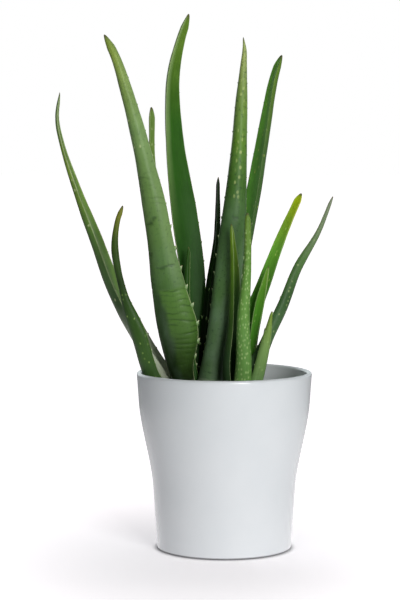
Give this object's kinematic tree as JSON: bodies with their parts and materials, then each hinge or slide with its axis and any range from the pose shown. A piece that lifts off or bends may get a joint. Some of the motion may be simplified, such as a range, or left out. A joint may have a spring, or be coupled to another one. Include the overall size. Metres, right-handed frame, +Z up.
{
  "type": "potted aloe plant",
  "caption": "Young aloe vera with toothed fleshy leaves and a side offset, growing in a plastic nursery pot inside a glazed ceramic cover pot.",
  "frame": {"origin": "centre of the cover pot's flat foot, on the surface that the pot stands on", "axes": "+Z up along the pot's axis and the plant's height, -Y towards the viewer of the picture, +X to the right"},
  "size_m": [0.2168, 0.137, 0.42],
  "materials": {
    "glaze": "cool white glaze over stoneware, smooth and glossy",
    "nursery_plastic": "thin black polypropylene, satin",
    "potting_mix": "dark brown potting mix with grit and bark",
    "stem_skin": "pale olive stem skin, matt",
    "main_leaf": "waxy deep green succulent skin with pale flecks",
    "offset_leaf": "waxy fresh green succulent skin with pale flecks"
  },
  "bodies": {
    "root": {"cover_pot": "glaze", "nursery_pot": "nursery_plastic", "soil": "potting_mix", "main_stem": "stem_skin", "offset_stem": "stem_skin", "leaf_heart": "main_leaf", "leaf_young": "main_leaf", "leaf_front": "main_leaf", "leaf_back_left": "main_leaf", "leaf_back_right": "main_leaf", "leaf_front_left": "main_leaf", "leaf_rear": "main_leaf", "leaf_far_left": "main_leaf", "leaf_left": "main_leaf", "offset_leaf_heart": "offset_leaf", "offset_leaf_channel": "offset_leaf", "offset_leaf_back": "offset_leaf", "offset_leaf_right": "offset_leaf", "offset_leaf_front": "offset_leaf", "offset_leaf_low": "offset_leaf"}
  },
  "joints": []
}
